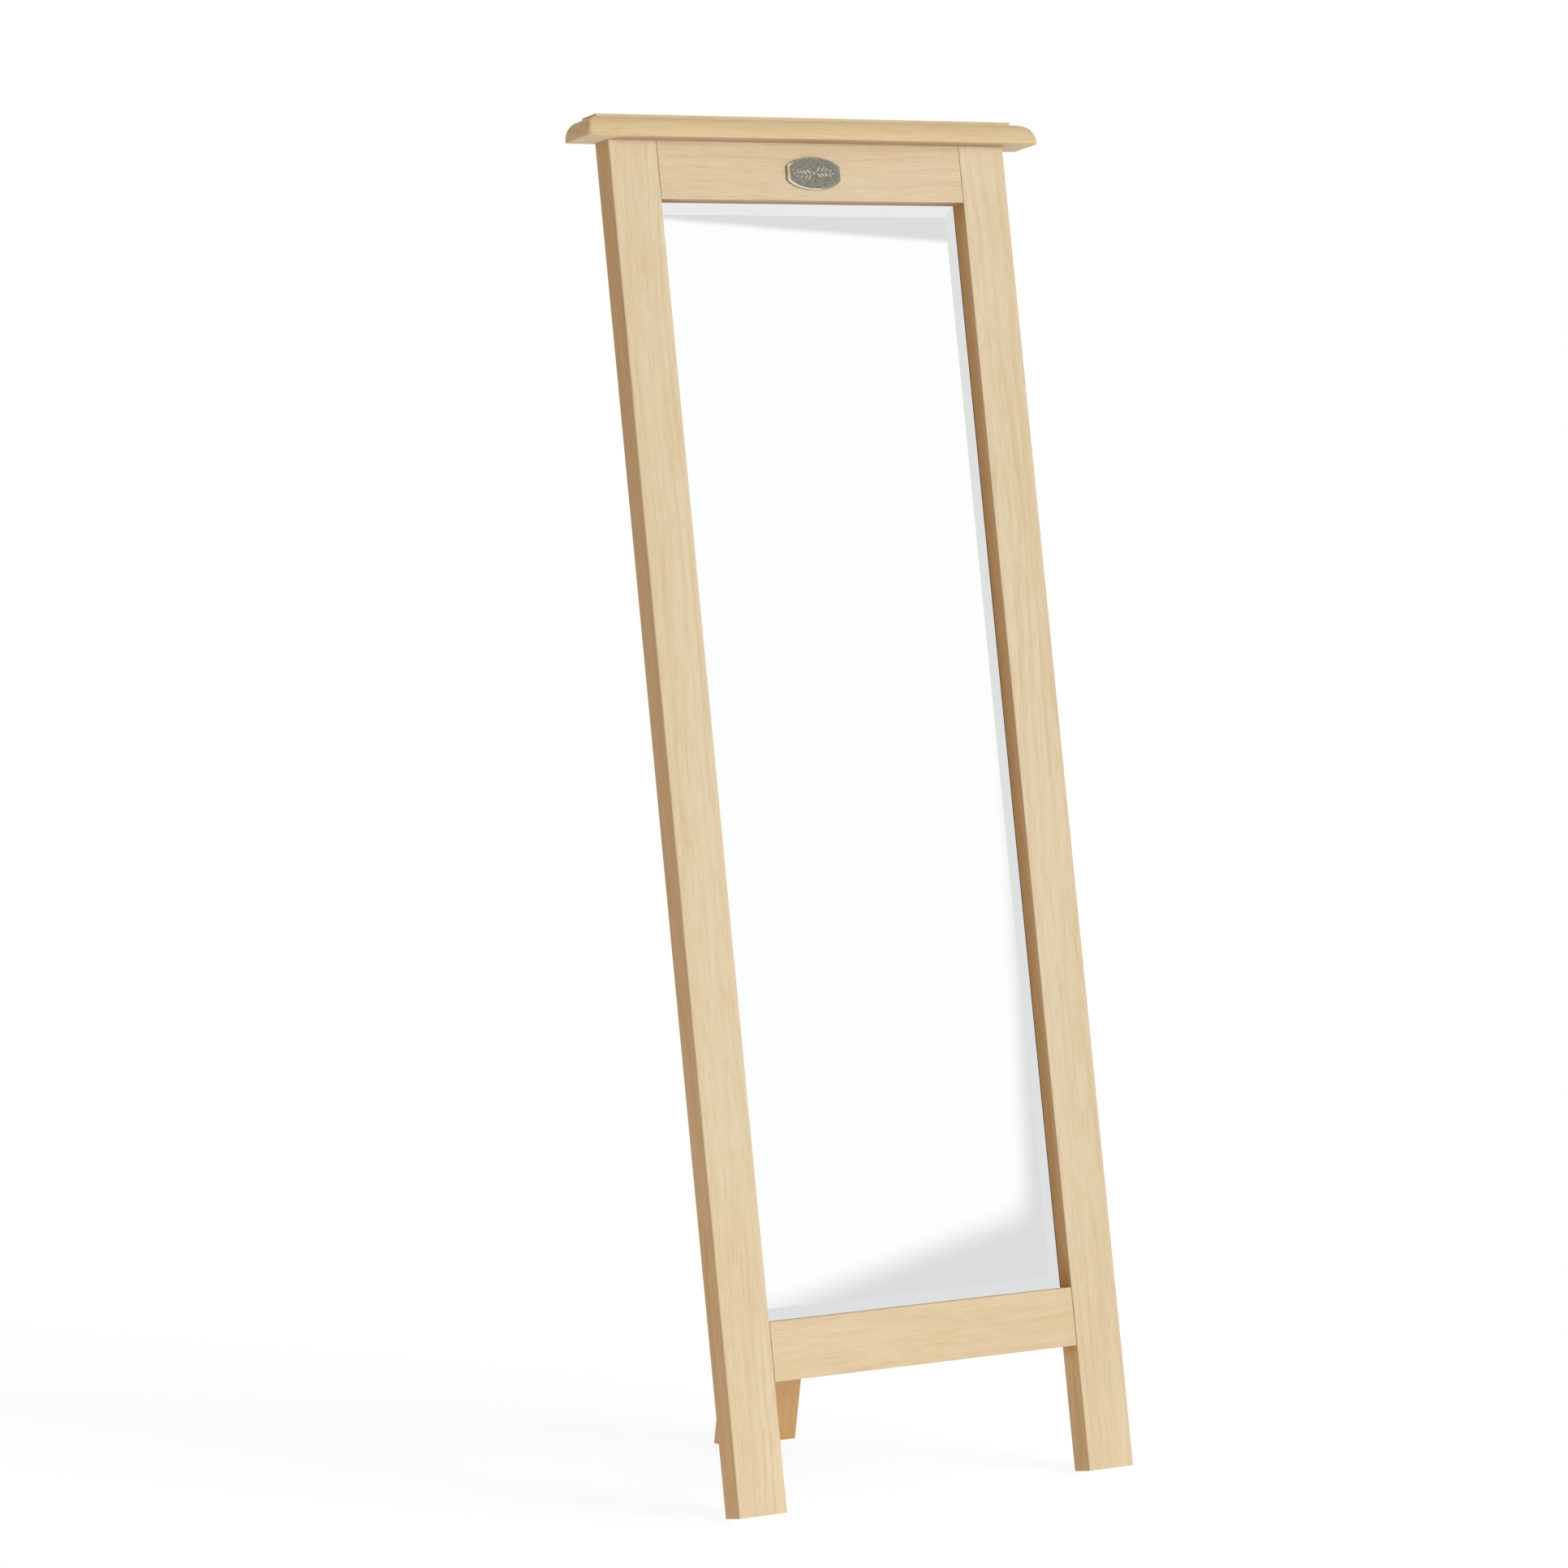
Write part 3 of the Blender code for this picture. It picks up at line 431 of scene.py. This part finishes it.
def cast_pewter():
    """Aged cast pewter: dark in the hollows, with painted shade down its edge and a painted highlight along
    the rim.
    """
    surface, nodes, shader = new_material("pewter_cast")
    place = nodes.add("ShaderNodeTexCoord").outputs["Object"]
    x, y, z = nodes.parts(place)
    tarnish = nodes.noise(place, 330.0, 4.0, 0.65)
    grit = nodes.noise(place, 1300.0, 3.0, 0.6)
    tone = nodes.mix(
        nodes.step(tarnish, 0.35, 0.65), colour(0.370, 0.362, 0.302), colour(0.235, 0.226, 0.185)
    )
    tone = nodes.mix(nodes.step(grit, 0.4, 0.7, 0.0, 0.4), tone, colour(0.24, 0.225, 0.185))
    raised = nodes.step(z, BADGE_FIELD, BADGE_FIELD + 0.3 * MM)
    tone = nodes.mix(nodes.product(raised, 0.9), tone, colour(0.72, 0.66, 0.59))

    # Painted highlight and shade: the rim is lightened at the left end and along the bottom, where light
    # catches it, and the upright edge below it is painted dark as shade.
    reach = nodes.math("ADD", nodes.product(x, -0.6), nodes.product(y, -0.8))
    oval = nodes.mapped(place, (1 / BADGE_LONG_AXIS, 1 / BADGE_HALF_H, 0))
    oval = nodes.add("ShaderNodeVectorMath", {0: oval}, operation="LENGTH").outputs["Value"]
    end_rim = nodes.step(nodes.math("ABSOLUTE", x), 33.8 * MM, 34.3 * MM)
    rim = nodes.math("MAXIMUM", end_rim, nodes.step(oval, 0.925, 0.94))
    rim_highlight = nodes.product(nodes.step(reach, 6 * MM, 12 * MM), rim)
    tone = nodes.mix(rim_highlight, tone, colour(0.82, 0.80, 0.62))
    low = nodes.step(z, 1.75 * MM, 1.45 * MM)
    tone = nodes.mix(low, tone, colour(0.060, 0.052, 0.030))
    nodes.plug(shader.inputs["Base Color"], tone)
    shader.inputs["Metallic"].default_value = 1.0
    nodes.plug(shader.inputs["Roughness"], nodes.step(tarnish, 0.3, 0.7, 0.38, 0.52))
    nodes.plug(shader.inputs["Normal"], nodes.bump(nodes.math("ADD", grit, tarnish), 0.05 * MM, 0.5))
    return surface


# Pieces --------------------------------------------------------------------------------------------------


def dress(obj, surface):
    obj.data.materials.clear()
    obj.data.materials.append(surface)


def finished(node, body, surface, soft_edge=SOFT_EDGE, sharp=SHARP_ANGLE):
    """The node's shape welded into one surface, its hard arrises softened and its flat faces kept flat."""
    bm = bmesh.new()
    bm.from_mesh(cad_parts[node].data)
    bmesh.ops.remove_doubles(bm, verts=bm.verts, dist=WELD)
    for edge in bm.edges:
        edge.smooth = edge.calc_face_angle(0) < sharp
    for face in bm.faces:
        face.smooth = True
    mesh = bpy.data.meshes.new(node + "_finished")
    bm.to_mesh(mesh)
    bm.free()
    obj = bpy.data.objects.new(node + "_finished", mesh)
    bpy.context.scene.collection.objects.link(obj)
    if soft_edge:
        bevel = obj.modifiers.new("soft_edges", "BEVEL")
        bevel.width = soft_edge
        bevel.segments = 2
        bevel.limit_method = "ANGLE"
        bevel.angle_limit = SHARP_ANGLE
        bevel.harden_normals = True
    flat = obj.modifiers.new("flat_faces", "WEIGHTED_NORMAL")
    flat.keep_sharp = True
    dress(obj, surface)
    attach(obj, body)
    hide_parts(node)
    return obj


def timber_pieces():
    """The boards. The glass reflects the studio and the leg, and none of the frame's own boards."""
    boards = {
        "left_stile": ("frame", UP_FRAME, OUT_FRAME, (0.31, 0.12, 0.40), (1.0, 1.0, 1.0)),
        "right_stile": ("frame", UP_FRAME, OUT_FRAME, (1.13, 0.55, 2.10), (1.01, 1.01, 1.02)),
        "top_rail": ("frame", ACROSS, OUT_FRAME, (2.27, 0.91, 0.70), (0.99, 0.97, 0.97)),
        "bottom_rail": ("frame", ACROSS, OUT_FRAME, (3.05, 1.33, 1.90), (1.01, 0.99, 0.96)),
        "cap_board": ("frame", ACROSS, OUT_FRAME, (4.41, 1.71, 3.30), (1.03, 0.965, 0.83)),
        "hinge_rail": ("frame", ACROSS, OUT_FRAME, (5.17, 2.29, 4.10), (0.97, 0.94, 0.90)),
        "rear_leg": ("rear_leg", UP_LEG, OUT_LEG, (6.39, 2.83, 5.20), (0.97, 0.93, 0.88)),
    }
    for node, (body, grain, out, offset, tint) in boards.items():
        # The rear leg's front gets painted shade for the frame's shadow over it.
        front = (0.84, 0.64, 0.44) if node == "rear_leg" else None
        surface = timber("timber_" + node, grain, out, offset, tint, front, shaded_sides=node != "cap_board")
        board = finished(node, body, surface)
        board.visible_glossy = node == "rear_leg"


def node_extents(node, directions):
    """A CAD node's lowest and highest reach along each direction."""
    points = [v.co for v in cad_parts[node].data.vertices]
    reaches = [[p.dot(direction) for p in points] for direction in directions]
    return [min(r) for r in reaches], [max(r) for r in reaches]


def badge_outline(half_w, half_h, rim, height):
    """An oval with straight ends, drawn inside the edge by rim, a share of the rim's width."""
    w, h = half_w - rim * BADGE_RIM_END, half_h - rim * BADGE_RIM_SIDE
    end_h = BADGE_END_HALF_H - rim * BADGE_RIM_SIDE / 2
    long_axis = w / math.sqrt(1 - (end_h / h) ** 2)
    reach = math.asin(w / long_axis)
    turns = [reach - 2 * reach * i / BADGE_ARC_STEPS for i in range(BADGE_ARC_STEPS + 1)]
    upper = [(long_axis * math.sin(a), h * math.cos(a)) for a in turns]
    return [(x, y, height) for x, y in upper + [(-x, -y) for x, y in upper]]


def badge_plate(bm, half_w, half_h):
    """The plate: an upright edge, a chamfered rim, a fine groove and the field."""
    steps = [
        (0.04, 0.0),
        (0.0, 0.1),
        (0.0, 0.52),
        (0.03, 0.58),
        (0.90, 0.98),
        (0.97, 1.0),
        (1.02, 0.96),
        (1.05, 0.78),
        (1.11, 0.76),
        (1.16, BADGE_FIELD / BADGE_T),
    ]
    rings = []
    for rim, height in steps:
        outline = badge_outline(half_w, half_h, rim, height * BADGE_T)
        rings.append([bm.verts.new(point) for point in outline])
    for lower, upper in zip(rings, rings[1:]):
        for i in range(len(lower)):
            j = (i + 1) % len(lower)
            bm.faces.new((lower[i], lower[j], upper[j], upper[i]))
    bm.faces.new(rings[0][::-1])
    bm.faces.new(rings[-1])


def leaf(bm, centre, heading, length, width, height):
    """A pointed leaf in low relief: a raised midrib between two edges that lie in the field."""
    along = Vector((math.cos(heading), math.sin(heading), 0))
    beside = Vector((-along.y, along.x, 0))
    sunk = Vector((0, 0, -LEAF_ROOT))
    left, rib, right = [], [], []
    for i in range(1, LEAF_STEPS):
        share = i / LEAF_STEPS
        swell = math.sin(math.pi * share ** 0.8)
        at = Vector(centre) + along * length * (share - 0.5)
        left.append(bm.verts.new(at + beside * width / 2 * swell + sunk))
        right.append(bm.verts.new(at - beside * width / 2 * swell + sunk))
        rib.append(bm.verts.new(at + Vector((0, 0, height * swell))))
    tail = bm.verts.new(Vector(centre) - along * length / 2 + sunk)
    tip = bm.verts.new(Vector(centre) + along * length / 2 + sunk)
    for first, second in ((right, rib), (rib, left), (left, right)):
        bm.faces.new((tail, second[0], first[0]))
        for i in range(LEAF_STEPS - 2):
            bm.faces.new((first[i], second[i], second[i + 1], first[i + 1]))
        bm.faces.new((tip, first[-1], second[-1]))


def stem_at(share):
    """A point on the spray's two curved stems, from one tip at -1 through the middle to the other at 1."""
    return Vector((share * SPRIG_HALF, SPRIG_RISE * math.sin(math.pi * share), BADGE_FIELD))


def sprig(bm):
    """A plain laurel spray: two stems from a middle bead, with leaves in pairs."""
    for side in (-1, 1):
        for i in range(STEM_STEPS - 1):
            a, b = stem_at(side * i / STEM_STEPS), stem_at(side * (i + 1.3) / STEM_STEPS)
            run = b - a
            leaf(bm, (a + b) / 2, math.atan2(run.y, run.x), run.length, STEM_W, 0.6 * RELIEF)
        for i in range(LEAF_PAIRS):
            share = side * (0.12 + 0.21 * i)
            at, ahead = stem_at(share), stem_at(share + side * 0.02)
            heading = math.atan2(ahead.y - at.y, ahead.x - at.x)
            length, width = LEAF_L * (1 - 0.09 * i), LEAF_W * (1 - 0.09 * i)
            for way in (heading - LEAF_LEAN, heading + LEAF_LEAN):
                middle = at + Vector((math.cos(way), math.sin(way), 0)) * length * 0.52
                leaf(bm, middle, way, length, width, RELIEF)
        leaf(bm, stem_at(side), 0 if side > 0 else math.pi, LEAF_L * 0.6, LEAF_W * 0.6, RELIEF)
    bead = Matrix.Translation((0, 0, BADGE_FIELD)) @ Matrix.Diagonal((BEAD_R, BEAD_R, RELIEF * 1.3, 1))
    bmesh.ops.create_icosphere(bm, subdivisions=3, radius=1.0, matrix=bead)


def badge(surface):
    """The plate, where the CAD's plate is and of its width and height, and the sprig on its field."""
    axes = (ACROSS, UP_FRAME, OUT_FRAME)
    lows, highs = node_extents("badge_plate", axes)
    half_w, half_h = ((high - low) / 2 for low, high in zip(lows[:2], highs[:2]))
    middle = [(low + high) / 2 for low, high in zip(lows[:2], highs[:2])]
    back = ACROSS * middle[0] + UP_FRAME * middle[1] + OUT_FRAME * (highs[2] - BADGE_T)
    turn = Matrix(axes).transposed().to_4x4()
    pieces = {"badge_cast_plate": lambda bm: badge_plate(bm, half_w, half_h), "badge_sprig": sprig}
    for name, build in pieces.items():
        bm = bmesh.new()
        build(bm)
        bmesh.ops.recalc_face_normals(bm, faces=bm.faces)
        for edge in bm.edges:
            edge.smooth = edge.calc_face_angle(0) < SHARP_ANGLE
        for face in bm.faces:
            face.smooth = True
        mesh = bpy.data.meshes.new(name)
        bm.to_mesh(mesh)
        bm.free()
        obj = bpy.data.objects.new(name, mesh)
        obj.matrix_world = Matrix.Translation(back) @ turn
        bpy.context.scene.collection.objects.link(obj)
        dress(obj, surface)
        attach(obj, "frame")
        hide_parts("badge_plate")


# Studio --------------------------------------------------------------------------------------------------


def slanted(nodes, along, edge):
    """A slanted edge's place, against the angle along it."""
    slope, at, level = edge
    return nodes.math("MULTIPLY_ADD", along, slope, level - slope * at)


def studio_world():
    """A soft studio by direction: a bright panel ahead on the right, grey walls and a warm dim left side."""
    world = bpy.data.worlds.new("studio")
    bpy.context.scene.world = world
    world.use_nodes = True
    nodes = Nodes(world.node_tree)
    way = nodes.add("ShaderNodeTexCoord").outputs["Generated"]
    x, y, z = nodes.parts(way)
    round_right = nodes.math("DEGREES", nodes.math("ARCTAN2", x, nodes.product(y, -1.0)))
    height = nodes.math("DEGREES", nodes.math("ARCSINE", z))

    # The panel's tilted foot and leaning right side run into each other softly, and its top is sharp.
    over_foot = nodes.math("SUBTRACT", height, slanted(nodes, round_right, PANEL_FOOT))
    inside = nodes.math("SUBTRACT", slanted(nodes, height, PANEL_SIDE), round_right)
    under_top = nodes.math("SUBTRACT", slanted(nodes, round_right, PANEL_TOP), height)
    corner = nodes.math("SMOOTH_MIN", over_foot, nodes.product(inside, 1.6), PANEL_CORNER)
    panel = nodes.product(
        nodes.step(corner, -0.20, 0.20),
        nodes.step(under_top, -0.04, 0.04),
        nodes.step(round_right, -20.0, 5.0),
    )

    # The walls brighten upwards and to the far right, and the left side is warm and dim.
    wall = nodes.step(height, 19.0, 27.0, 0.757, 0.872)
    wall = nodes.math("ADD", wall, nodes.step(round_right, 38.0, 45.0, 0.0, 0.033))
    left = nodes.mix(nodes.step(height, 20.0, 55.0), colour(0.50, 0.27, 0.09), colour(0.43, 0.30, 0.18))
    room = nodes.mix(nodes.step(x, -0.05, -0.45), nodes.grey(wall), left)
    room = nodes.mix(panel, room, colour(1.04, 1.04, 1.04))

    # Matt surfaces get less light from high up, and the camera sees plain white.
    path = nodes.add("ShaderNodeLightPath").outputs
    high = nodes.product(path["Is Diffuse Ray"], nodes.step(height, 15.0, 60.0))
    room = nodes.mix(high, room, colour(0.45, 0.45, 0.45), "MULTIPLY")
    tone = nodes.mix(path["Is Camera Ray"], room, colour(1.0, 1.0, 1.0))
    light = nodes.add("ShaderNodeBackground", {"Color": tone, "Strength": 1.0})
    output = nodes.add("ShaderNodeOutputWorld")
    nodes.tree.links.new(light.outputs[0], output.inputs["Surface"])


def studio_key():
    """A very large soft key ahead on the right, only a little above the horizon, and unseen in the glass."""
    key = bpy.data.lights.new("key", "SUN")
    key.energy = KEY_STRENGTH
    key.angle = KEY_SPREAD
    key.color = KEY_COLOUR
    lamp = bpy.data.objects.new("key", key)
    lamp.visible_glossy = False
    lamp.rotation_euler = KEY_TOWARDS.to_track_quat("Z", "Y").to_euler()
    bpy.context.scene.collection.objects.link(lamp)


def studio_floor():
    """A plain white sweep. The camera sees it lit and shadowed, over a glow that keeps it bright. What it
    throws back is a glow alone: a warm pool on matt surfaces, and a pale grey in the glass."""
    surface = bpy.data.materials.new("floor_white")
    surface.use_nodes = True
    nodes = Nodes(surface.node_tree)
    place = nodes.add("ShaderNodeTexCoord").outputs["Object"]
    lit = nodes.add("ShaderNodeBsdfDiffuse", {"Color": colour(0.47, 0.40, 0.30)})
    glow = nodes.add("ShaderNodeEmission", {"Color": colour(0.855, 0.922, 1.0), "Strength": 0.862})
    seen = nodes.add("ShaderNodeAddShader", {0: lit.outputs[0], 1: glow.outputs[0]})

    away = nodes.add("ShaderNodeVectorMath", {0: place, 1: POOL_AT}, operation="DISTANCE").outputs["Value"]
    pool = nodes.mix(nodes.step(away, 0.3, 2.0), colour(1.00, 0.91, 0.77), colour(0.54, 0.52, 0.50))
    mirrored = nodes.grey(nodes.step(nodes.parts(place)[0], 2.1, 2.5, 1.0, 0.78))
    path = nodes.add("ShaderNodeLightPath").outputs
    thrown = nodes.mix(path["Is Diffuse Ray"], mirrored, pool)
    thrown = nodes.add("ShaderNodeEmission", {"Color": thrown})
    choice = {0: path["Is Camera Ray"], 1: thrown.outputs[0], 2: seen.outputs[0]}
    mixed = nodes.add("ShaderNodeMixShader", choice)
    output = nodes.add("ShaderNodeOutputMaterial")
    nodes.tree.links.new(mixed.outputs[0], output.inputs["Surface"])

    mesh = bpy.data.meshes.new("floor")
    corners = [(x * FLOOR_HALF, y * FLOOR_HALF, 0) for x, y in ((-1, -1), (1, -1), (1, 1), (-1, 1))]
    mesh.from_pydata(corners, [], [(0, 1, 2, 3)])
    floor = bpy.data.objects.new("floor", mesh)
    bpy.context.scene.collection.objects.link(floor)
    dress(floor, surface)


def studio_camera():
    lens = bpy.data.cameras.new("camera")
    lens.lens = CAMERA_LENS
    lens.sensor_width = 36
    lens.clip_end = 1000
    camera = bpy.data.objects.new("camera", lens)
    camera.location = CAMERA_AT
    camera.rotation_euler = CAMERA_TURN
    bpy.context.scene.collection.objects.link(camera)
    bpy.context.scene.camera = camera


# Scene ---------------------------------------------------------------------------------------------------


def fastener_finishes():
    """What the hinge, dowels and screws are made of, by the first of these words in their names."""
    brass_tones = (0.68, 0.51, 0.24), (0.46, 0.31, 0.13), (0.86, 0.70, 0.40)
    zinc_tones = (0.62, 0.63, 0.62), (0.42, 0.42, 0.40), (0.80, 0.80, 0.79)
    zinc = worn_metal("zinc_passivated", *zinc_tones, 0.30, 900.0)
    brass = worn_metal("brass_brushed", *brass_tones, 0.26, 1.0, (2500, 90, 90))
    return {"leaf": brass, "hinge": brass, "dowel": dowel_beech(), "screw": zinc}


def main():
    bpy.context.scene.view_settings.view_transform = "Standard"
    studio_camera()
    studio_world()
    studio_key()
    studio_floor()

    timber_pieces()
    glass = silvered_glass()
    finished("mirror_glass", "frame", glass, soft_edge=0, sharp=GLASS_SHARP_ANGLE)
    strip = finished("glazing_strip", "frame", black_felt(), soft_edge=0)
    strip.visible_glossy = False
    finished("backing_board", "frame", hardboard())
    badge(cast_pewter())

    # The CAD's own pieces that are left lie behind or inside the boards, so the glass doesn't reflect them.
    finishes = fastener_finishes()
    for name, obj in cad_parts.items():
        if not obj.hide_render:
            dress(obj, next(finish for word, finish in finishes.items() if word in name))
            obj.visible_glossy = False


main()
